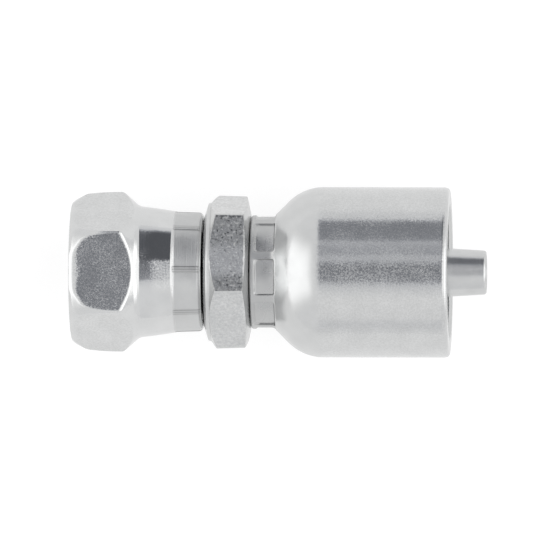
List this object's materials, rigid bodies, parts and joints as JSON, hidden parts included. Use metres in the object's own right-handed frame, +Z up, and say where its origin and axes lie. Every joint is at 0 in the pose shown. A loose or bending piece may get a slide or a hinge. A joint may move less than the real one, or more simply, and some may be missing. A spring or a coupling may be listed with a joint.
{
  "type": "crimp hose fitting",
  "caption": "Steel crimp hose end: hexagonal swivel nut over a flare-seat nipple with a wrench hexagon and barbed tail inside a bottle-shaped ferrule.",
  "frame": {"origin": "on the fitting's axis, half way between the nut's front face and the tail's tip", "axes": "+X along the axis from the open nut to the hose tail, +Z up, square to one of the nut's flats"},
  "size_m": [0.052, 0.0214, 0.0214],
  "materials": {
    "nut_plating": "bright zinc plating",
    "nipple_plating": "bright zinc plating",
    "ferrule_plating": "bright zinc plating"
  },
  "bodies": {
    "stem": {"hose_nipple": "nipple_plating", "ferrule": "ferrule_plating"},
    "nut": {"swivel_nut": "nut_plating"}
  },
  "joints": [
    {"name": "nut_swivel", "type": "hinge", "parent": "stem", "child": "nut", "pos_m": [-0.01078, 0, 0], "axis": [1, 0, 0], "continuous": true}
  ]
}
